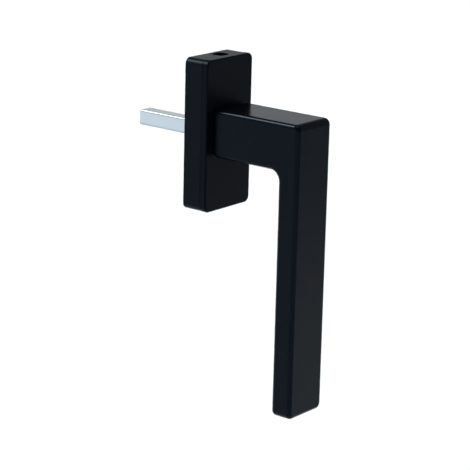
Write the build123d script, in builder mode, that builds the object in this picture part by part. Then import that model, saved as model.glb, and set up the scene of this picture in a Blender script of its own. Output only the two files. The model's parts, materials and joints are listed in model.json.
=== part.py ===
from build123d import *
import os

# A window handle for a tilt-and-turn sash: an L-shaped lever turns in a rectangular rosette
# and drives the sash gear through a square spindle.
#
# Millimetres. The origin is where the spindle axis meets the mounting face. +X is to the right
# for someone in the room, +Y points into the sash along the spindle, +Z is up. The lever hangs
# down, which is the closed position. "Depth" below is the distance from the mounting face
# towards the room, so a piece at depth d lies at y = -d.

# Rosette: a housing against the sash, and a cap that lifts off its room side
rosette_width = 32.0
rosette_height = 70.0
rosette_depth = 13.0
rosette_corner = 3.0
cap_depth = 3.2
cap_wall = 1.6
cap_edge_radius = 0.7
cap_reveal = 0.15  # the cap overhangs the housing by this much all round
seam_chamfer = 0.2
land_height = 0.9  # raised land of the housing that the cap sits over
land_clearance = 0.2

# Lever
lever_width = 24.0
lever_reach = 61.5  # mounting face to the room face of the grip
grip_thickness = 10.7
grip_end = 123.5  # below the spindle axis
grip_end_radius = 3.0
arm_top = 12.6  # above the spindle axis
arm_bottom = 9.4  # below the spindle axis
arm_gap = 1.3  # free gap between the rosette and the arm
arm_end_radius = 0.5
elbow_radius = 5.0
shoulder_radius = 3.0
lever_edge_radius = 1.9

# Spindle, and the pin that holds it in the neck
spindle_side = 7.0
spindle_reach = 38.0  # out of the mounting face
spindle_insertion = 23.5  # deep into the arm
spindle_chamfer = 0.4
socket_clearance = 0.03
pin_radius = 1.25
pin_bore = 0.7
pin_slot = 0.4
pin_depth = 8.8
pin_setback = 0.3

# Neck of the lever, seen from the spindle outwards
neck_wall = 1.55  # over the corners of the spindle
flat_wall = 2.0  # over the flats of the spindle
collar_step = 1.0
groove_depth = 0.6
running_clearance = 0.05
thrust_clearance = 0.05

# Detent: a notched disc on the neck, with two sprung plungers above and below it
disc_rim = 2.3  # neck surface to the lobes of the disc
disc_thickness = 2.4
detent_count = 4
detent_travel = 0.6
nose_radius = 1.6
plunger_width = 4.4
plunger_length = 3.2  # nose centre to tail
plunger_clearance = 0.1
seat_radius = 1.3
seat_depth = 1.6
detent_gap = 0.02
wire_radius = 0.2
coil_radius = 1.0
coil_turns = 4
coil_space = 3.4  # from the bottom of the plunger's seat to the end of its channel

# Washers and ring on the neck
ring_thickness = 1.0
ring_width = 1.9
ring_opening = 5.0
washer_thickness = 0.6
washer_width = 1.4
stack_gap = 0.05
cone_thickness = 0.42
cone_width = 2.4
cone_rise = 1.21

# Bush in the housing, and ring in the cap
bush_wall = 1.5
flange_thickness = 0.8
flange_width = 1.6
cap_ring_wall = 1.25
cap_ring_flange = 1.0
cap_ring_flange_thickness = 0.4

# Back plate over the mechanism
plate_thickness = 1.0
plate_setback = 0.1
plate_margin = 2.0
plate_corner = 2.0
plate_clearance = 0.1
plate_hole_gap = 0.65
plate_screw_radius = 1.25
plate_screw_head = 2.2
plate_screw_length = 5.5
plate_screw_inset = 3.1
driver_slot = 0.6
driver_span = 2.2

# Fixing holes for two M5 countersunk screws, and the sleeves that centre the rosette
screw_pitch = 43.0
screw_hole_radius = 2.65
screw_head_radius = 5.2
sleeve_radius = 5.0
sleeve_step = 0.2  # a sleeve is thinner by this much inside the housing
sleeve_seat = 3.0
mouth_clearance = 0.1  # around the wide part of a sleeve, at the mouth of its seat
sleeve_proud = 2.0
sleeve_chamfer = 0.5

# Latches that hold the cap, one at each end, half a turn apart
latch_offset = 2.0  # sideways from the spindle axis
latch_wall = 3.25  # housing end to the latch pocket
latch_width = 8.0
latch_space = 4.0
latch_floor = 1.6
release_width = 7.0
release_length = 7.0
release_corner = 2.5
release_depth = 5.4  # centre of the release opening
nib_width = 7.2
nib_thickness = 1.2
nib_reach = 1.0  # into the housing
nib_clearance = 0.2
leaf_thickness = 0.3
leaf_width = 6.4
leaf_bend = 0.5
leaf_lead = 0.5  # length and rise of the lead-in at the free end of a leaf
leaf_lip = 0.2  # housing face to the free end of a leaf

# Hollows cast in the back of the housing
hollow_width = 5.4
hollow_height = 12.5
hollow_corner = 1.2
hollow_wall = 1.8
hollow_inset = 2.2

# Depths and radii that follow from the sizes above
seam = rosette_depth - cap_depth
land_top = seam + land_height
cap_inside = rosette_depth - cap_wall
arm_end = rosette_depth + arm_gap
grip_back = lever_reach - grip_thickness

half_diagonal = spindle_side / 2**0.5
neck_radius = half_diagonal + neck_wall
flat_half = spindle_side / 2 + flat_wall
collar_radius = neck_radius + collar_step
disc_radius = neck_radius + disc_rim
pocket_radius = disc_radius + 2.2
sleeve_neck_radius = sleeve_radius - sleeve_step
mouth_chamfer = sleeve_step + mouth_clearance

recess_depth = plate_setback + plate_thickness
neck_end = recess_depth + 0.2
ring_depth = neck_end + 0.6
washer_depth = ring_depth + ring_thickness + 2 * stack_gap
disc_depth = washer_depth + washer_thickness + stack_gap
disc_top = disc_depth + disc_thickness
pocket_floor = disc_top + 2 * detent_gap + cone_rise
plunger_start = recess_depth + plunger_clearance
plunger_top = disc_top + 0.35
channel_floor = plunger_top + plunger_clearance
nose_centre = disc_radius + nose_radius + detent_gap
plunger_tail = nose_centre + plunger_length
channel_end = plunger_tail - seat_depth + coil_space

bush_radius = neck_radius + running_clearance + bush_wall
flange_radius = bush_radius + flange_width
shoulder_depth = land_top + thrust_clearance
cap_hole_radius = collar_radius + 0.06 + cap_ring_wall

plate_width = 2 * (pocket_radius + plate_margin)
plate_height = 2 * (channel_end + 0.2)
plate_screw_x = plate_width / 2 - plate_screw_inset
plate_screw_z = plate_height / 2 - plate_screw_inset

housing_width = rosette_width - 2 * cap_reveal
housing_height = rosette_height - 2 * cap_reveal
latch_outer = housing_height / 2 - latch_wall
latch_inner = latch_outer - latch_space
nib_outer = latch_outer - nib_clearance
nib_inner = nib_outer - nib_thickness
nib_end = land_top - nib_reach

halves = {"upper": 1, "lower": -1}


def level(depth, half=1):
    """Plane at a depth, facing the room, turned half a turn about the spindle for the lower half."""
    return Plane(origin=(0, -depth, 0), x_dir=(half, 0, 0), z_dir=(0, -1, 0))


def back_level(depth):
    """Plane at a depth, facing the sash."""
    return Plane(origin=(0, -depth, 0), x_dir=(1, 0, 0), z_dir=(0, 1, 0))


def side_level(half):
    """Plane through the middle of a latch, with depth as its first axis and height outwards."""
    return Plane(origin=(half * latch_offset, 0, 0), x_dir=(0, -1, 0), z_dir=(-half, 0, 0))


os.makedirs("parts", exist_ok=True)

# ---- Lever: grip and arm in one casting, with the neck that turns in the rosette
with BuildPart() as lever:
    with BuildSketch(Plane.YZ):
        with BuildLine():
            Polyline(
                (-arm_end, arm_top),
                (-lever_reach, arm_top),
                (-lever_reach, -grip_end),
                (-grip_back, -grip_end),
                (-grip_back, -arm_bottom),
                (-arm_end, -arm_bottom),
                close=True,
            )
        make_face()
    extrude(amount=lever_width / 2, both=True)
    across = lever.edges().filter_by(Axis.X)
    fillet(across.sort_by_distance((0, -grip_back, -arm_bottom))[0], elbow_radius)
    across = lever.edges().filter_by(Axis.X)
    fillet(across.sort_by_distance((0, -lever_reach, arm_top))[0], shoulder_radius)
    fillet(lever.edges().filter_by(Axis.Y).group_by(Axis.Z)[0], grip_end_radius)
    across = lever.edges().filter_by(Axis.X)
    along = lever.edges().filter_by(Axis.Y).group_by(Axis.Z)
    upright = lever.edges().filter_by(Axis.Z)
    sharp_edges = upright - upright.group_by(Axis.Y)[-1] + lever.edges().filter_by(GeomType.CIRCLE)
    sharp_edges += across.group_by(Axis.Z)[0] + along[-1] + along[-2]
    fillet(sharp_edges, lever_edge_radius)
    fillet(lever.faces().sort_by(Axis.Y)[-1].edges(), arm_end_radius)
    # collar, which shows in the gap, and the journal behind it
    with BuildSketch(level(shoulder_depth)):
        Circle(collar_radius)
    extrude(amount=arm_end - shoulder_depth + lever_edge_radius)
    with BuildSketch(level(neck_end)):
        Circle(neck_radius)
    extrude(amount=shoulder_depth - neck_end)
    # two flats that drive the detent disc
    with BuildSketch(level(neck_end)):
        Circle(neck_radius + 1)
        Rectangle(2 * flat_half, 4 * neck_radius, mode=Mode.SUBTRACT)
    extrude(amount=disc_top + stack_gap - neck_end, mode=Mode.SUBTRACT)
    # groove for the retaining ring
    with BuildSketch(level(ring_depth)):
        Circle(neck_radius + 1)
        Circle(neck_radius - groove_depth, mode=Mode.SUBTRACT)
    extrude(amount=ring_thickness + 2 * stack_gap, mode=Mode.SUBTRACT)
    # square socket and the cross hole of the pin
    with BuildSketch(level(neck_end)):
        Rectangle(spindle_side + 2 * socket_clearance, spindle_side + 2 * socket_clearance)
    extrude(amount=spindle_insertion + 0.5 - neck_end, mode=Mode.SUBTRACT)
    with BuildSketch(Plane.YZ):
        with Locations((-pin_depth, 0)):
            Circle(pin_radius)
    extrude(amount=neck_radius + 0.5, both=True, mode=Mode.SUBTRACT)
lever.part.label = "lever"
export_step(lever.part, "parts/lever.step")

# ---- Spindle: square bar, chamfered where it enters the sash gear
with BuildPart() as spindle:
    with BuildSketch(level(-spindle_reach)):
        Rectangle(spindle_side, spindle_side)
    extrude(amount=spindle_reach + spindle_insertion)
    chamfer(spindle.faces().sort_by(Axis.Y)[-1].edges(), spindle_chamfer)
    with BuildSketch(Plane.YZ):
        with Locations((-pin_depth, 0)):
            Circle(pin_radius)
    extrude(amount=spindle_side, both=True, mode=Mode.SUBTRACT)
spindle.part.label = "spindle"
export_step(spindle.part, "parts/spindle.step")

# ---- Spindle pin: slotted spring pin through neck and spindle, kept in by the bush
with BuildPart() as spindle_pin:
    with BuildSketch(Plane.YZ):
        with Locations((-pin_depth, 0)):
            Circle(pin_radius)
            Circle(pin_bore, mode=Mode.SUBTRACT)
        with Locations((-pin_depth, pin_radius)):
            Rectangle(pin_slot, 2 * (pin_radius - pin_bore) + 0.6, mode=Mode.SUBTRACT)
    extrude(amount=neck_radius - pin_setback, both=True)
spindle_pin.part.label = "spindle_pin"
export_step(spindle_pin.part, "parts/spindle_pin.step")

# ---- Retaining ring: open ring in the groove at the end of the neck
with BuildPart() as retaining_ring:
    with BuildSketch(level(ring_depth + stack_gap)):
        Circle(neck_radius - groove_depth + 0.05 + ring_width)
        Circle(neck_radius - groove_depth + 0.05, mode=Mode.SUBTRACT)
        with Locations((0, -neck_radius)):
            Rectangle(ring_opening, 2 * ring_width + 2, mode=Mode.SUBTRACT)
    extrude(amount=ring_thickness)
retaining_ring.part.label = "retaining_ring"
export_step(retaining_ring.part, "parts/retaining_ring.step")

# ---- Thrust washer between the ring and the detent disc
with BuildPart() as thrust_washer:
    with BuildSketch(level(washer_depth)):
        Circle(neck_radius + 0.1 + washer_width)
        Circle(neck_radius + 0.1, mode=Mode.SUBTRACT)
    extrude(amount=washer_thickness)
thrust_washer.part.label = "thrust_washer"
export_step(thrust_washer.part, "parts/thrust_washer.step")

# ---- Detent disc: turned by the flats of the neck, with a notch for each quarter turn
with BuildPart() as detent_disc:
    with BuildSketch(level(disc_depth)):
        Circle(disc_radius)
        with BuildSketch(mode=Mode.SUBTRACT):
            Circle(neck_radius + socket_clearance)
            Rectangle(
                2 * (flat_half + socket_clearance),
                4 * neck_radius,
                mode=Mode.INTERSECT,
            )
        with PolarLocations(nose_centre - detent_travel, detent_count):
            Circle(nose_radius + plunger_clearance / 2, mode=Mode.SUBTRACT)
    extrude(amount=disc_thickness)
detent_disc.part.label = "detent_disc"
export_step(detent_disc.part, "parts/detent_disc.step")

# ---- Cone spring: takes up the end play of the neck
with BuildPart() as cone_spring:
    cone_inner = neck_radius + 0.1
    cone_outer = cone_inner + cone_width
    cone_start = disc_top + detent_gap
    cone_end = cone_start + cone_rise
    with BuildSketch(Plane.XY):
        with BuildLine():
            Polyline(
                (cone_inner, -cone_start),
                (cone_outer, -(cone_end - cone_thickness)),
                (cone_outer, -cone_end),
                (cone_inner, -(cone_start + cone_thickness)),
                close=True,
            )
        make_face()
    revolve(axis=Axis.Y)
cone_spring.part.label = "cone_spring"
export_step(cone_spring.part, "parts/cone_spring.step")

# ---- Neck bush: flanged bearing pressed into the housing from the room side
with BuildPart() as neck_bush:
    with BuildSketch(level(pocket_floor + stack_gap)):
        Circle(bush_radius)
    extrude(amount=land_top - pocket_floor - stack_gap)
    with BuildSketch(level(land_top - flange_thickness)):
        Circle(flange_radius)
    extrude(amount=flange_thickness)
    with BuildSketch(level(pocket_floor)):
        Circle(neck_radius + running_clearance)
    extrude(amount=land_top - pocket_floor, mode=Mode.SUBTRACT)
neck_bush.part.label = "neck_bush"
export_step(neck_bush.part, "parts/neck_bush.step")

# ---- Detent plungers and their coil springs, above and below the disc
plunger_middle = (plunger_start + plunger_top) / 2
for side, half in halves.items():
    with BuildPart() as plunger:
        with BuildSketch(level(plunger_start, half)):
            with Locations((0, nose_centre)):
                Circle(nose_radius)
            with BuildLine():
                Polyline(
                    (-nose_radius, nose_centre),
                    (nose_radius, nose_centre),
                    (plunger_width / 2, nose_centre + plunger_width / 2 - nose_radius),
                    (plunger_width / 2, plunger_tail),
                    (-plunger_width / 2, plunger_tail),
                    (-plunger_width / 2, nose_centre + plunger_width / 2 - nose_radius),
                    close=True,
                )
            make_face()
        extrude(amount=plunger_top - plunger_start)
        with BuildSketch(Plane(origin=(0, -plunger_middle, half * plunger_tail), z_dir=(0, 0, half))):
            Circle(seat_radius)
        extrude(amount=-seat_depth, mode=Mode.SUBTRACT)
    plunger.part.label = f"detent_plunger_{side}"
    export_step(plunger.part, f"parts/detent_plunger_{side}.step")

    coil_start = plunger_tail - seat_depth + wire_radius + detent_gap
    coil_height = coil_space - 2 * (wire_radius + detent_gap)
    with BuildPart() as coil_spring:
        with BuildLine() as coil:
            Helix(
                pitch=coil_height / coil_turns,
                height=coil_height,
                radius=coil_radius,
                center=(0, -plunger_middle, half * coil_start),
                direction=(0, 0, half),
            )
        with BuildSketch(Plane(origin=coil.line @ 0, z_dir=coil.line % 0)):
            Circle(wire_radius)
        sweep(path=coil.line, is_frenet=True)
    coil_spring.part.label = f"detent_spring_{side}"
    export_step(coil_spring.part, f"parts/detent_spring_{side}.step")

# ---- Housing: the fixed body of the rosette
with BuildPart() as housing:
    with BuildSketch(level(0)):
        RectangleRounded(housing_width, housing_height, rosette_corner - cap_reveal)
    extrude(amount=seam)
    chamfer(housing.faces().sort_by(Axis.Y)[0].edges(), seam_chamfer)
    land_inset = cap_wall + land_clearance
    with BuildSketch(level(seam)):
        RectangleRounded(
            rosette_width - 2 * land_inset,
            rosette_height - 2 * land_inset,
            rosette_corner - land_inset,
        )
    extrude(amount=land_height)
    # recess for the back plate, pocket for the disc, channels for the plungers
    with BuildSketch(level(0)):
        RectangleRounded(
            plate_width + 2 * plate_clearance,
            plate_height + 2 * plate_clearance,
            plate_corner + plate_clearance,
        )
    extrude(amount=recess_depth, mode=Mode.SUBTRACT)
    with BuildSketch(level(recess_depth)):
        Circle(pocket_radius)
    extrude(amount=pocket_floor - recess_depth, mode=Mode.SUBTRACT)
    with BuildSketch(level(recess_depth)):
        Rectangle(plunger_width + 2 * plunger_clearance, 2 * channel_end)
    extrude(amount=channel_floor - recess_depth, mode=Mode.SUBTRACT)
    # bore for the bush, with a seat for its flange
    with BuildSketch(level(pocket_floor)):
        Circle(bush_radius)
    extrude(amount=land_top - pocket_floor, mode=Mode.SUBTRACT)
    with BuildSketch(level(land_top - flange_thickness)):
        Circle(flange_radius)
    extrude(amount=flange_thickness, mode=Mode.SUBTRACT)
    # countersunk fixing holes, and the seats of the sleeves
    with Locations(level(land_top)):
        with GridLocations(0, screw_pitch, 1, 2):
            CounterSinkHole(screw_hole_radius, screw_head_radius, counter_sink_angle=90)
    with BuildSketch(level(0)):
        with GridLocations(0, screw_pitch, 1, 2):
            Circle(sleeve_neck_radius)
    extrude(amount=sleeve_seat, mode=Mode.SUBTRACT)
    with BuildSketch(level(0)):
        with GridLocations(0, screw_pitch, 1, 2):
            Circle(sleeve_neck_radius + mouth_chamfer)
    extrude(amount=mouth_chamfer, taper=45, mode=Mode.SUBTRACT)
    # holes for the screws of the back plate
    with BuildSketch(level(recess_depth)):
        with GridLocations(2 * plate_screw_x, 2 * plate_screw_z, 2, 2):
            Circle(plate_screw_radius)
    extrude(amount=plate_screw_length, mode=Mode.SUBTRACT)
    # hollows beside the sleeves
    hollow_x = housing_width - 2 * hollow_inset - hollow_width
    with BuildSketch(level(0)):
        with GridLocations(hollow_x, 2 * (screw_pitch / 2 + sleeve_radius / 2), 2, 2):
            RectangleRounded(hollow_width, hollow_height, hollow_corner)
    extrude(amount=seam - hollow_wall, mode=Mode.SUBTRACT)
    # latch pockets from the room side, and the release openings in the ends
    for half in halves.values():
        with BuildSketch(level(latch_floor, half)):
            with Locations((latch_offset, (latch_outer + latch_inner) / 2)):
                Rectangle(latch_width, latch_space)
        extrude(amount=land_top - latch_floor, mode=Mode.SUBTRACT)
        end_face = Plane(
            origin=(half * latch_offset, -release_depth, half * housing_height / 2),
            x_dir=(1, 0, 0),
            z_dir=(0, 0, half),
        )
        with BuildSketch(end_face):
            RectangleRounded(release_width, release_length, release_corner)
        extrude(amount=-(latch_wall + latch_space / 4), mode=Mode.SUBTRACT)
housing.part.label = "housing"
export_step(housing.part, "parts/housing.step")

# ---- Locating sleeves: centre the rosette in the 10 mm holes of the sash
for side, half in halves.items():
    with BuildPart() as sleeve:
        with BuildSketch(level(-sleeve_proud, half)):
            with Locations((0, screw_pitch / 2)):
                Circle(sleeve_radius)
        extrude(amount=sleeve_proud)
        chamfer(sleeve.faces().sort_by(Axis.Y)[-1].edges(), sleeve_chamfer)
        with BuildSketch(level(0, half)):
            with Locations((0, screw_pitch / 2)):
                Circle(sleeve_neck_radius)
        extrude(amount=sleeve_seat)
        with BuildSketch(level(-sleeve_proud, half)):
            with Locations((0, screw_pitch / 2)):
                Circle(screw_hole_radius)
        extrude(amount=sleeve_proud + sleeve_seat, mode=Mode.SUBTRACT)
    sleeve.part.label = f"locating_sleeve_{side}"
    export_step(sleeve.part, f"parts/locating_sleeve_{side}.step")

# ---- Back plate: closes the mechanism towards the sash
with BuildPart() as back_plate:
    with BuildSketch(level(plate_setback)):
        RectangleRounded(plate_width, plate_height, plate_corner)
        Circle(half_diagonal + plate_hole_gap, mode=Mode.SUBTRACT)
    extrude(amount=plate_thickness)
    with Locations(back_level(plate_setback)):
        with GridLocations(2 * plate_screw_x, 2 * plate_screw_z, 2, 2):
            CounterSinkHole(plate_screw_radius, plate_screw_head, counter_sink_angle=90)
back_plate.part.label = "back_plate"
export_step(back_plate.part, "parts/back_plate.step")

# ---- Plate screws: four small countersunk screws with a cross recess
with BuildPart() as plate_screws:
    with BuildSketch(level(plate_setback)):
        with GridLocations(2 * plate_screw_x, 2 * plate_screw_z, 2, 2):
            Circle(plate_screw_head)
    extrude(amount=plate_screw_head - plate_screw_radius, taper=45)
    with BuildSketch(level(plate_setback)):
        with GridLocations(2 * plate_screw_x, 2 * plate_screw_z, 2, 2):
            Circle(plate_screw_radius)
    extrude(amount=plate_screw_length)
    with BuildSketch(level(plate_setback)):
        with GridLocations(2 * plate_screw_x, 2 * plate_screw_z, 2, 2):
            Rectangle(driver_span, driver_slot)
            Rectangle(driver_slot, driver_span)
    extrude(amount=plate_thickness / 2, mode=Mode.SUBTRACT)
plate_screws.part.label = "plate_screws"
export_step(plate_screws.part, "parts/plate_screws.step")

# ---- Front cap: shallow shell over the land of the housing, with a nib at each end
with BuildPart() as front_cap:
    with BuildSketch(level(seam)):
        RectangleRounded(rosette_width, rosette_height, rosette_corner)
    extrude(amount=cap_depth)
    fillet(front_cap.faces().sort_by(Axis.Y)[0].edges(), cap_edge_radius)
    chamfer(front_cap.faces().sort_by(Axis.Y)[-1].edges(), seam_chamfer)
    with BuildSketch(level(seam)):
        RectangleRounded(
            rosette_width - 2 * cap_wall,
            rosette_height - 2 * cap_wall,
            rosette_corner - cap_wall,
        )
    extrude(amount=cap_depth - cap_wall, mode=Mode.SUBTRACT)
    with BuildSketch(level(seam)):
        Circle(cap_hole_radius)
    extrude(amount=cap_depth, mode=Mode.SUBTRACT)
    for half in halves.values():
        with BuildSketch(level(nib_end, half)):
            with Locations((latch_offset, (nib_outer + nib_inner) / 2)):
                Rectangle(nib_width, nib_thickness)
        extrude(amount=cap_inside - nib_end)
front_cap.part.label = "front_cap"
export_step(front_cap.part, "parts/front_cap.step")

# ---- Cap ring: slides on the collar of the lever, so that the cap runs true and can't rattle
with BuildPart() as cap_ring:
    with BuildSketch(level(cap_inside)):
        Circle(cap_hole_radius)
    extrude(amount=cap_wall - 0.05)
    with BuildSketch(level(cap_inside - cap_ring_flange_thickness)):
        Circle(cap_hole_radius + cap_ring_flange)
    extrude(amount=cap_ring_flange_thickness)
    with BuildSketch(level(cap_inside - cap_ring_flange_thickness)):
        Circle(collar_radius + 0.06)
    extrude(amount=cap_wall + cap_ring_flange_thickness, mode=Mode.SUBTRACT)
cap_ring.part.label = "cap_ring"
export_step(cap_ring.part, "parts/cap_ring.step")

# ---- Cap springs: leaf springs in the latch pockets that press on the nibs of the cap
leaf_base = latch_inner + leaf_thickness / 2 + detent_gap
leaf_contact = nib_inner - leaf_thickness / 2 - running_clearance
for side, half in halves.items():
    with BuildPart() as cap_spring:
        with BuildSketch(side_level(half)):
            with BuildLine():
                FilletPolyline(
                    (land_top - nib_reach, leaf_base),
                    (latch_floor + 1.0, leaf_base),
                    (latch_floor + 1.0, leaf_base + 2.1 * leaf_bend),
                    (land_top - leaf_lip - leaf_lead, leaf_contact),
                    (land_top - leaf_lip, leaf_contact - leaf_lead),
                    radius=leaf_bend,
                )
            trace(line_width=leaf_thickness)
        extrude(amount=leaf_width / 2, both=True)
    cap_spring.part.label = f"cap_spring_{side}"
    export_step(cap_spring.part, f"parts/cap_spring_{side}.step")
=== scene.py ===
# %% [markdown]
# # A window handle
#
# The object is a handle for a tilt-and-turn window: a rectangular rosette, an L-shaped lever
# that turns in it, and a bright square spindle that goes through the sash into the gear.
# The frame already holds every piece at its real size and place. This lesson gives each piece
# the finish that it has on the real handle, makes the few pieces whose surface is finer than
# the frame's, and sets up a plain pale studio around them.

# %% Load the frame
import json

import bpy
import numpy as np
from mathutils import Matrix, Vector


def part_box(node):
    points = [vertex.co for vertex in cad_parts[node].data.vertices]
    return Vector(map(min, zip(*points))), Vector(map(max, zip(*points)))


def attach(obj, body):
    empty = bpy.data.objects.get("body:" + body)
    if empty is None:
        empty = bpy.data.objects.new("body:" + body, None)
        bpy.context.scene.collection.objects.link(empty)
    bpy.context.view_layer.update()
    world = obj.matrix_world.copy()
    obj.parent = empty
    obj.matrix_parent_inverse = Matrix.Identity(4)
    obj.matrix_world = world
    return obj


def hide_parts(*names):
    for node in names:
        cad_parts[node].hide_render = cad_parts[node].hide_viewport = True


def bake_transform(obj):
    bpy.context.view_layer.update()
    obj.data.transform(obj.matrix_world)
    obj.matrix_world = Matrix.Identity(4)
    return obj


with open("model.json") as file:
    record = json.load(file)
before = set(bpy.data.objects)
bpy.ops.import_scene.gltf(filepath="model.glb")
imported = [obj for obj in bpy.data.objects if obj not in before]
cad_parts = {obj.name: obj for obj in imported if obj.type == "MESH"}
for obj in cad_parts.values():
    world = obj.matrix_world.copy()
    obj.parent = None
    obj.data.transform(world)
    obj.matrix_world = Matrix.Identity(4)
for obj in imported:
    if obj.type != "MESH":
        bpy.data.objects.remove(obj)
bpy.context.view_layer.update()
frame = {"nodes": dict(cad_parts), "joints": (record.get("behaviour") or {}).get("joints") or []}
mm = 0.001

# %% [markdown]
# ## Shader sums as plain arithmetic
#
# A finish is mostly small sums: so much roughness, plus a little noise, less where hands
# polish the metal. Such sums could be wired up node by node. Here a signal wraps a socket and
# overloads the operators, so that a line of arithmetic makes the nodes.


# %% A signal: a number that changes over the surface
class Signal:
    """A number that changes over a surface. Arithmetic on it adds Math nodes to its tree."""

    def __init__(self, nodes, socket):
        self.nodes = nodes
        self.socket = socket

    def math(self, operation, first, second):
        node = self.nodes.node("ShaderNodeMath", {"operation": operation}, {0: first, 1: second})
        return Signal(self.nodes, node.outputs[0])

    def __add__(self, other):
        return self.math("ADD", self, other)

    def __radd__(self, other):
        return self.math("ADD", other, self)

    def __sub__(self, other):
        return self.math("SUBTRACT", self, other)

    def __rsub__(self, other):
        return self.math("SUBTRACT", other, self)

    def __mul__(self, other):
        return self.math("MULTIPLY", self, other)

    def __rmul__(self, other):
        return self.math("MULTIPLY", other, self)

    def __abs__(self):
        return self.math("ABSOLUTE", self, 0.0)

    def rising(self, low, high):
        """0 below low, 1 above high, and a smooth step in between."""
        return self.nodes.step(self, low, high)


# %% [markdown]
# ## One way to add any node
#
# Every finish, and the light of the room, is a tree of nodes. Each could be laid out by hand.
# One class adds a node from its type, its settings and its inputs, so that a finish reads as
# a few lines. It starts from one set of coordinates: Object coordinates for a finish, so that
# a pattern stays on its piece wherever the piece turns.


# %% A tree of nodes
class Nodes:
    """A node tree, with one method that adds any node, and short ones for the usual sums."""

    def __init__(self, tree, coordinates):
        self.tree = tree
        self.place = self.node("ShaderNodeTexCoord").outputs[coordinates]

    def node(self, kind, settings=None, inputs=None):
        """A node of a kind, with its settings set first, and then its sockets set or linked."""
        node = self.tree.nodes.new(kind)
        for name, value in (settings or {}).items():
            setattr(node, name, value)
        for name, value in (inputs or {}).items():
            self.feed(node.inputs[name], value)
        return node

    def feed(self, socket, value):
        """Links a socket to a signal or to another socket, or sets it to a plain value."""
        source = value.socket if isinstance(value, Signal) else value
        if isinstance(source, bpy.types.NodeSocket):
            self.tree.links.new(source, socket)
        else:
            socket.default_value = source

    def step(self, value, low, high):
        """Smooth step of a value, from 0 at low to 1 at high."""
        sockets = {"Value": value, "From Min": low, "From Max": high}
        node = self.node("ShaderNodeMapRange", {"interpolation_type": "SMOOTHSTEP"}, sockets)
        return Signal(self, node.outputs["Result"])

    def axes(self):
        """The three coordinates as signals."""
        node = self.node("ShaderNodeSeparateXYZ", None, {"Vector": self.place})
        return [Signal(self, node.outputs[axis]) for axis in "XYZ"]


# %% [markdown]
# ## A finish
#
# A finish is one Principled shader. What is the same all over is set on its sockets, and what
# varies comes from noise. Noise could come from painted images, but those fix a resolution
# and a lay-out, while procedural noise is as fine as the piece needs, from any distance.


# %% A finish: a material being made
class Finish(Nodes):
    """A material with one Principled shader."""

    sockets = {
        "color": "Base Color",
        "metallic": "Metallic",
        "roughness": "Roughness",
        "normal": "Normal",
        "specular": "Specular IOR Level",
        "specular_tint": "Specular Tint",
    }

    def __init__(self, name):
        self.material = bpy.data.materials.new(name)
        self.material.use_nodes = True
        super().__init__(self.material.node_tree, "Object")
        self.shader = self.tree.nodes["Principled BSDF"]

    def set(self, **values):
        """Sets or links sockets of the shader by their short names, and returns the material."""
        for name, value in values.items():
            self.feed(self.shader.inputs[self.sockets[name]], value)
        return self.material

    def noise(self, size, stretch=(1, 1, 1), detail=2.0, roughness=0.5):
        """Noise whose lumps are about size across, drawn out by stretch along each axis."""
        scale = tuple(1 / (size * s) for s in stretch)
        spread = self.node("ShaderNodeMapping", None, {"Vector": self.place, "Scale": scale})
        sockets = {"Vector": spread.outputs[0], "Scale": 1.0}
        sockets |= {"Detail": detail, "Roughness": roughness}
        return Signal(self, self.node("ShaderNodeTexNoise", None, sockets).outputs["Fac"])

    def blend(self, share, low, high):
        """Colour that goes from low to high as a signal goes from 0 to 1. Low may be a socket."""
        start = low if isinstance(low, bpy.types.NodeSocket) else (*low, 1)
        colors = {"Factor": share, 6: start, 7: (*high, 1)}
        return self.node("ShaderNodeMix", {"data_type": "RGBA"}, colors).outputs[2]

    def bump(self, height, depth, below=None):
        """Normal for a height from 0 to 1 over a depth in metres, on top of another normal."""
        sockets = {"Height": height, "Distance": depth, "Strength": 1.0}
        if below is not None:
            sockets["Normal"] = below
        return self.node("ShaderNodeBump", None, sockets).outputs["Normal"]


def paint(material, *names):
    """Gives a material to the frame's pieces of these names."""
    for name in names:
        for slot in frame["nodes"][name].material_slots:
            slot.material = material
    print(material.name, "on", ", ".join(names))


# %% [markdown]
# ## Black powder coat
#
# The lever and the rosette are cast, and sprayed with black powder that is baked until it
# flows. The film is satin: it hides the casting but keeps a very fine orange peel, which
# breaks up every reflection. Carbon black and a resin of low gloss make it mirror very little
# face on, and much more at a glancing angle. A flat black would look like card. So two sizes
# of noise carry the peel, and a broad, faint noise changes the gloss, as the thickness of
# the film does.


# %% The powder coat
peel_size = 0.55 * mm
peel_depth = 0.006 * mm
ripple_size = 2.2 * mm
ripple_depth = 0.008 * mm
film_size = 19 * mm
film_black = (0.0011, 0.0017, 0.0034)
worn_black = (0.0020, 0.0031, 0.0058)
mirror_blue = (0.56, 0.79, 1.0, 1)
film_change = 0.06
peel_change = 0.05
worn_change = 0.05
worn_shade = 0.6


def powder_coat(name, rough, mirror, polish=None):
    """Satin black film: roughness is rough plus noise, and less where polish is high."""
    coat = Finish(name)
    peel = coat.noise(peel_size, detail=3.0)
    ripple = coat.noise(ripple_size)
    film = coat.noise(film_size, detail=3.0)
    roughness = rough + film_change * (film - 0.5) + peel_change * (peel - 0.5)
    shade = film
    if polish is not None:
        worn = polish(coat)
        roughness = roughness - worn_change * worn
        shade = film + worn_shade * worn
    grain = coat.bump(peel, peel_depth)
    return coat.set(
        color=coat.blend(shade, film_black, worn_black),
        roughness=roughness,
        specular=mirror,
        specular_tint=mirror_blue,
        normal=coat.bump(ripple, ripple_depth, grain),
    )


paint(powder_coat("cap_coat", rough=0.34, mirror=0.061), "front_cap")
paint(powder_coat("housing_coat", rough=0.36, mirror=0.08), "housing")

# %% [markdown]
# ## Where hands polish the lever
#
# The long edges of the lever are what a hand closes on, so their film is a little smoother
# and lighter than on the flats. The mask could be painted. Here it comes from the distance to
# each face: an edge is where two such distances are small together.

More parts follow.
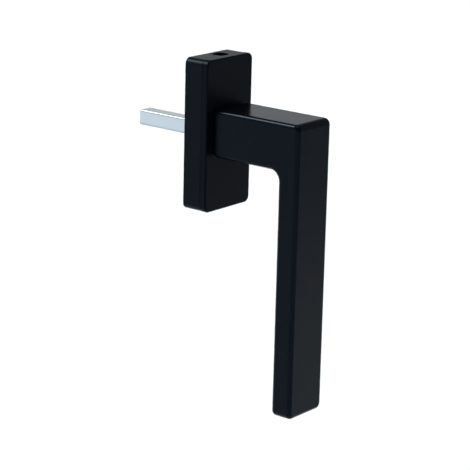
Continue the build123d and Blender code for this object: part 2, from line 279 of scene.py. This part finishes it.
# %% The polished edges of the lever
lever_low, lever_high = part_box("lever")
edge_band = 1.6 * mm
streak_size = 1.6 * mm


def polished_edges(coat):
    """High in streaks on the long edges: near a side, and near the front or the top as well."""
    x, y, z = coat.axes()
    side = abs(x).rising(lever_high.x - edge_band, lever_high.x)
    front = 1 - y.rising(lever_low.y, lever_low.y + edge_band)
    top = z.rising(lever_high.z - edge_band, lever_high.z)
    streaks = coat.noise(streak_size, (1, 3, 3))
    return side * (front + top) * streaks


paint(powder_coat("lever_coat", rough=0.23, mirror=0.088, polish=polished_edges), "lever")

# %% [markdown]
# ## Bright steels
#
# The handle's steels are sheet, hardened parts, spring wire and drawn bar. They differ in
# colour and in the run of their grain: sheet is rolled one way, hardened parts and springs
# are even, and drawn bar has hair-thin lines along it. One function makes them all, with the
# noise stretched along the grain. A second, broad noise is the uneven tarnish of any plating.


# %% One function for every steel
tarnish_size = 6 * mm
grain_change = 0.10
tarnish_change = 0.08
# the darker grey of the painted shade along edges
painted_edge_grey = (0.20, 0.22, 0.24)
even = (1, 1, 1)


def steel(name, low, high, rough, grain_size, stretch, depth, painted_shade=None):
    """Bare or plated metal: stretched noise gives the grain, a broad one the tarnish."""
    metal = Finish(name)
    grain = metal.noise(grain_size, stretch, detail=4.0)
    tarnish = metal.noise(tarnish_size, detail=3.0)
    tone = metal.blend(0.5 * grain + 0.5 * tarnish, low, high)
    roughness = rough + grain_change * (grain - 0.5) + tarnish_change * (tarnish - 0.5)
    # painted shade: where its mask is high, the colour is painted towards a darker grey
    if painted_shade is not None:
        tone = metal.blend(painted_shade(metal), tone, painted_edge_grey)
    return metal.set(color=tone, metallic=1.0, roughness=roughness, normal=metal.bump(grain, depth))


# %% Sheet, hardened and spring steel
plate_steel = steel(
    "zinc_sheet",
    low=(0.46, 0.50, 0.54),
    high=(0.62, 0.66, 0.70),
    rough=0.33,
    grain_size=0.25 * mm,
    stretch=(12, 1, 1),
    depth=0.004 * mm,
)
paint(plate_steel, "back_plate", "plate_screws")

hardened_steel = steel(
    "hardened_steel",
    low=(0.20, 0.20, 0.21),
    high=(0.34, 0.34, 0.35),
    rough=0.36,
    grain_size=0.2 * mm,
    stretch=even,
    depth=0.003 * mm,
)
paint(hardened_steel, "thrust_washer", "detent_disc")

spring_steel = steel(
    "spring_steel",
    low=(0.40, 0.41, 0.43),
    high=(0.56, 0.57, 0.60),
    rough=0.24,
    grain_size=0.15 * mm,
    stretch=even,
    depth=0.002 * mm,
)
paint(spring_steel, "spindle_pin", "retaining_ring", "cone_spring")
paint(spring_steel, "cap_spring_upper", "cap_spring_lower")

# %% [markdown]
# ## Brass
#
# The two plungers are flat-sided sliders of brass, which runs well on the hard steel of the
# disc. A finish of its own could be written, but brass differs from the steels only in its
# colour and in its grain, here drawn out along the wide faces, so the same function makes it.

# %% Brass
brass = steel(
    "turned_brass",
    low=(0.66, 0.49, 0.22),
    high=(0.80, 0.63, 0.33),
    rough=0.28,
    grain_size=0.2 * mm,
    stretch=(9, 1, 9),
    depth=0.003 * mm,
)
paint(brass, "detent_plunger_upper", "detent_plunger_lower")

# %% [markdown]
# ## Bearing plastic
#
# The bush and the ring of the cap are moulded in natural acetal, which is off-white and a
# little waxy. The locating sleeves are the same kind of moulding in black. Subsurface light
# would suit thick wax, but such thin rings look the same without it, and render cleaner.


# %% Plastics
mould_grain_size = 0.22 * mm
mould_grain_depth = 0.006 * mm
mould_grain_change = 0.08
cloud_size = 5 * mm


def moulded(name, low, high, rough):
    """Moulded plastic: a fine spark-eroded grain, and a slow change of tone."""
    plastic = Finish(name)
    grain = plastic.noise(mould_grain_size)
    cloud = plastic.noise(cloud_size)
    return plastic.set(
        color=plastic.blend(cloud, low, high),
        roughness=rough + mould_grain_change * (grain - 0.5),
        normal=plastic.bump(grain, mould_grain_depth),
    )


acetal = moulded("acetal", low=(0.62, 0.60, 0.54), high=(0.74, 0.72, 0.66), rough=0.42)
paint(acetal, "neck_bush", "cap_ring")
sleeve_low = (0.008, 0.008, 0.009)
sleeve_high = (0.014, 0.014, 0.016)
black_plastic = moulded("black_sleeve", low=sleeve_low, high=sleeve_high, rough=0.5)
paint(black_plastic, "locating_sleeve_upper", "locating_sleeve_lower")

# %% [markdown]
# ## Surfaces from rings of points
#
# The spindle and the coil springs are long pieces whose section is carried along a path. They
# could be extruded by hand. Here each is an array of rings, one ring for each station along
# the path, and one function joins neighbouring rings with quads and closes both ends.


# %% Rings to a mesh
def mesh_piece(name, points, faces, material):
    """A smooth mesh object from an array of points and lists of their numbers."""
    mesh = bpy.data.meshes.new(name)
    mesh.from_pydata(points.reshape(-1, 3).tolist(), [], faces)
    mesh.polygons.foreach_set("use_smooth", np.ones(len(faces), bool))
    mesh.materials.append(material)
    piece = bpy.data.objects.new(name, mesh)
    bpy.context.scene.collection.objects.link(piece)
    return piece


def grid_faces(rows, columns, wrap):
    """Quads of a grid of points: each joins two neighbours in a row to the two in the next row."""
    row, column = np.meshgrid(np.arange(rows - 1), np.arange(columns - 1 + wrap), indexing="ij")
    near = row * columns + column
    beside = row * columns + (column + 1) % columns
    quads = np.stack([near, beside, beside + columns, near + columns], axis=-1)
    return quads.reshape(-1, 4).tolist()


def skin(name, rings, material):
    """Closed piece over rings of points: quads from ring to ring, and one face over each end."""
    count, size = rings.shape[:2]
    ends = [list(range(size))[::-1], list(range((count - 1) * size, count * size))]
    piece = mesh_piece(name, rings, grid_faces(count, size, True) + ends, material)
    print(name, len(piece.data.vertices), "points,", len(piece.data.polygons), "faces")
    return piece


# %% [markdown]
# ## The spindle
#
# The spindle is a square bar whose long edges came out of the drawing die slightly rounded,
# and whose ends are chamfered. A bar with sharp edges would show no light along them. The
# section is a square with quarter circles at its corners, and it shrinks over the chamfers.
# Smooth shading would bend the light over the flats, so a point just past each arc, and a ring
# just past each chamfer, keep the flats flat. Along the four long edges the colour is painted
# darker, as painted shade for the dark reflections there.

# %% The spindle bar
spindle_low, spindle_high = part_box("spindle")
half_side = spindle_high.x
corner_radius = 0.4 * mm
end_chamfer = 0.4 * mm
hold = 0.06 * mm
arc_points = 9


def square_ring(half, radius, depth):
    """Points round a square: each quarter circle stands on its own corner centre, at one depth."""
    arc = np.linspace(0, np.pi / 2, arc_points)
    arc = np.concatenate([arc[:1], arc, arc[-1:]])
    past = np.tile([-hold] + [0] * arc_points + [hold], 4)
    angle = (np.arange(4)[:, None] * np.pi / 2 + arc[None, :]).ravel()
    corner = np.repeat(np.arange(4) * np.pi / 2 + np.pi / 4, arc.size)
    reach = (half - radius) * np.sqrt(2)
    x = reach * np.cos(corner) + radius * np.cos(angle) - past * np.sin(angle)
    z = reach * np.sin(corner) + radius * np.sin(angle) + past * np.cos(angle)
    return np.stack([x, np.full(x.size, depth), z], axis=1)


def spindle_bar():
    """Rings along the bar: small at both ends, and full from chamfer to chamfer."""
    small = half_side - end_chamfer
    far, near = spindle_high.y, spindle_low.y
    steps = [
        (small, far),
        (half_side, far - end_chamfer),
        (half_side, far - end_chamfer - hold),
        (half_side, near + end_chamfer + hold),
        (half_side, near + end_chamfer),
        (small, near),
    ]
    return np.stack([square_ring(half, corner_radius, depth) for half, depth in steps])


# %% The spindle's finish and place
# painted shade along the spindle's long edges: how wide it is, and how strong
edge_shade_band = 1.3 * mm
edge_shade_share = 0.6


def painted_edge_shade(metal):
    """Painted shade: high along the four long edges, where both distances from the axis are large.
    """
    x, y, z = metal.axes()
    start = half_side - edge_shade_band
    return edge_shade_share * abs(x).rising(start, half_side) * abs(z).rising(start, half_side)


spindle_steel = steel(
    "drawn_steel",
    low=(0.48, 0.56, 0.62),
    high=(0.61, 0.69, 0.75),
    rough=0.20,
    grain_size=0.16 * mm,
    stretch=(1, 60, 1),
    depth=0.002 * mm,
    painted_shade=painted_edge_shade,
)
spindle = skin("spindle_bar", spindle_bar(), spindle_steel)
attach(spindle, "lever")
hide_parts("spindle")

# %% [markdown]
# ## The detent springs
#
# Each plunger is pushed by a coil spring with closed ends: the last turn at each end lies on
# the one before, and is ground flat so that the spring stands square. A plain helix has
# neither. The pitch grows from a closed turn to an open one and back, the wire is a circle
# carried along that path, and the grinding is a limit on the height. A spring that rode on
# one piece would come off the other. model.json gives the end that stays with the rosette,
# and the other end goes with the plunger. The script prints where both ends lie, and makes
# the coil at rest; it does not make the turns spread.

# %% The coil springs
wire_radius = 0.2 * mm
turns = 5.6
closed_turns = 0.6
closed_pitch = 1.7 * wire_radius
added_pitch = 2.4 * wire_radius
path_points = 340
wire_points = 12


def coil_rings(centre, coil_radius, height):
    """Circles of wire round a line at the coil radius, which climbs least at both ends."""
    share = np.linspace(0, 1, path_points)
    angle = 2 * np.pi * turns * share
    ends = np.minimum(share, 1 - share) * turns
    opening = np.clip(ends - closed_turns, 0, 1)
    pitch = closed_pitch + added_pitch * opening**2 * (3 - 2 * opening)
    climb = np.concatenate([[0], np.cumsum((pitch[1:] + pitch[:-1]) / 2)])
    rise = (climb / climb[-1] - 0.5) * (height - wire_radius)
    radial = np.stack([np.cos(angle), np.sin(angle), np.zeros(path_points)], axis=1)
    path = coil_radius * radial + rise[:, None] * np.array([0, 0, 1])
    along = np.gradient(path, axis=0)
    along /= np.linalg.norm(along, axis=1, keepdims=True)
    upright = np.cross(radial, along)
    turn = np.linspace(0, 2 * np.pi, wire_points, endpoint=False)
    outward = np.cos(turn)[None, :, None] * radial[:, None, :]
    sideways = np.sin(turn)[None, :, None] * upright[:, None, :]
    rings = path[:, None, :] + wire_radius * (outward + sideways)
    rings[..., 2] = np.clip(rings[..., 2], -height / 2, height / 2)
    return rings + np.array(centre)


for end in ("upper", "lower"):
    low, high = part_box(f"detent_spring_{end}")
    height = high.z - low.z
    centre = (low + high) / 2
    coil = coil_rings(centre, (high.x - low.x) / 2 - wire_radius, height)
    spring = skin(f"coil_spring_{end}", coil, spring_steel)
    joint = next(j for j in frame["joints"] if j["name"] == f"plunger_{end}_press")
    fixed_end = joint["deforming_nodes"][0]["fixed_end_z_m"]
    moving_end = low.z + high.z - fixed_end
    print("spring", end, "from", round(fixed_end / mm, 2), "to", round(moving_end / mm, 2), "mm")
    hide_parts(f"detent_spring_{end}")
    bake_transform(spring)

# %% [markdown]
# ## The floor
#
# The handle hangs free, so the pale floor lies well below it and shows no shadow near it. A
# curved backdrop would do as well, but a wide flat sheet suits every side. The upright faces
# of the handle mirror this floor. About a metre off to the front and the right, painted shade
# turns its paper grey, standing in for where the light of a studio ends, and the front faces
# mirror that.

# %% The floor's paper
mottle_size = 0.3
mottle_share = 0.03
pale_paper = (0.89, 0.89, 0.89)
# the grey of the painted shade far off on the floor
painted_falloff_grey = (0.43, 0.45, 0.48)
dim_to_right = 0.62
dim_to_front = 0.78
# painted shade: where the falloff starts and where it is full, in metres along that direction
falloff_from = 0.70
falloff_past = 1.28
paper = Finish("floor_paper")
across, along = paper.axes()[:2]
mottle = paper.noise(mottle_size)
# painted shade: the paper is painted grey to the front and right, for the studio's light falling
# off
painted_falloff = (dim_to_right * across - dim_to_front * along).rising(falloff_from, falloff_past)
mottle_and_falloff = mottle_share * mottle + (1 - mottle_share) * (1 - painted_falloff)
tone = paper.blend(mottle_and_falloff, painted_falloff_grey, pale_paper)
floor_paper = paper.set(color=tone, roughness=0.9, specular=0.1)
print("paper turns grey from", falloff_from, "to", falloff_past, "m off")

# %% Floor
floor_height = -0.32
floor_reach = 9.0
floor_lines = 9
line = np.linspace(-floor_reach, floor_reach, floor_lines)
floor_x, floor_y = np.meshgrid(line, line)
floor_points = np.stack([floor_x, floor_y, np.full(floor_x.shape, floor_height)], axis=-1)
floor = mesh_piece("floor", floor_points, grid_faces(floor_lines, floor_lines, False), floor_paper)
print("floor at", floor_height, "m")

# %% [markdown]
# ## The light of the room
#
# Glossy black is drawn by what it mirrors. Lamps could be set up as objects, but they would
# light the floor unevenly and stand in the way of other views. So the room's own light is a
# studio that depends on direction alone: a pale band round the horizon, a dim wall above it
# that is a little paler on the right, a soft ceiling, and one soft box high behind and to the
# left, which draws the bright lines along the upper edges. The band is weaker in front and to
# the right, like the far floor there, so that the faces turned that way are darker.

# %% Directions in the room
world = bpy.data.worlds.new("studio")
world.use_nodes = True
room = Nodes(world.node_tree, "Generated")
right, ahead, up = room.axes()
box_direction = Vector((-0.36, 0.60, 0.71)).normalized()
toward_box = box_direction.x * right + box_direction.y * ahead + box_direction.z * up
dim_edge = (0.5, 0.95)
dim_side = (dim_to_right * right - dim_to_front * ahead).rising(*dim_edge)
right_edge = (0.5, 0.8)
right_side = right.rising(*right_edge)


def beyond(part, edge):
    """0 below the first of an edge's two angles, in degrees, 1 above the second."""
    start, end = np.sin(np.radians(edge)).tolist()
    return part.rising(start, end)


print("soft box toward", [round(v, 2) for v in box_direction])

# %% The room's light
horizon_light = 0.52
horizon_edge = (20, 34)  # degrees above level
dimming = 0.65
ceiling_light = 1.6
ceiling_edge = (58, 72)
box_light = 20.0
box_edge = (74, 80)  # 90 is straight at the soft box
wall_light = 0.06
right_wall_light = 0.16
cool_white = (0.94, 0.97, 1.0, 1)
horizon = horizon_light * (1 - beyond(up, horizon_edge)) * (1 - dimming * dim_side)
ceiling = ceiling_light * beyond(up, ceiling_edge)
soft_box = box_light * beyond(toward_box, box_edge)
wall = wall_light + right_wall_light * right_side
background = world.node_tree.nodes["Background"]
room.feed(background.inputs["Strength"], wall + horizon + ceiling + soft_box)
room.feed(background.inputs["Color"], cool_white)
bpy.context.scene.world = world
bpy.context.scene.view_settings.view_transform = "Standard"
print("lights: band", horizon_light, "ceiling", ceiling_light, "soft box", box_light)

# %% [markdown]
# ## The camera
#
# The view is from the room, to the left and a little above, with a long lens, so the
# upright edges of the rosette and of the grip stay almost parallel.

# %% Camera
aim = Vector((-0.3 * mm, -18.3 * mm, -47.0 * mm))
azimuth = np.radians(-51.33)
elevation = np.radians(15.66)
roll = np.radians(1.42)
distance = 920.1 * mm
toward_camera = Vector(
    (
        np.sin(azimuth) * np.cos(elevation),
        -np.cos(azimuth) * np.cos(elevation),
        np.sin(elevation),
    )
)
camera_data = bpy.data.cameras.new("camera")
camera_data.sensor_width = 36.0
camera_data.lens = 154.0  # millimetres, for the sensor above
camera_data.clip_start = 0.01
camera = bpy.data.objects.new("camera", camera_data)
place = Matrix.Translation(aim + distance * toward_camera)
facing = toward_camera.to_track_quat("Z", "Y").to_matrix().to_4x4()
camera.matrix_world = place @ facing @ Matrix.Rotation(roll, 4, "Z")
bpy.context.scene.collection.objects.link(camera)
bpy.context.scene.camera = camera
print("camera at", [round(v, 3) for v in camera.matrix_world.translation])
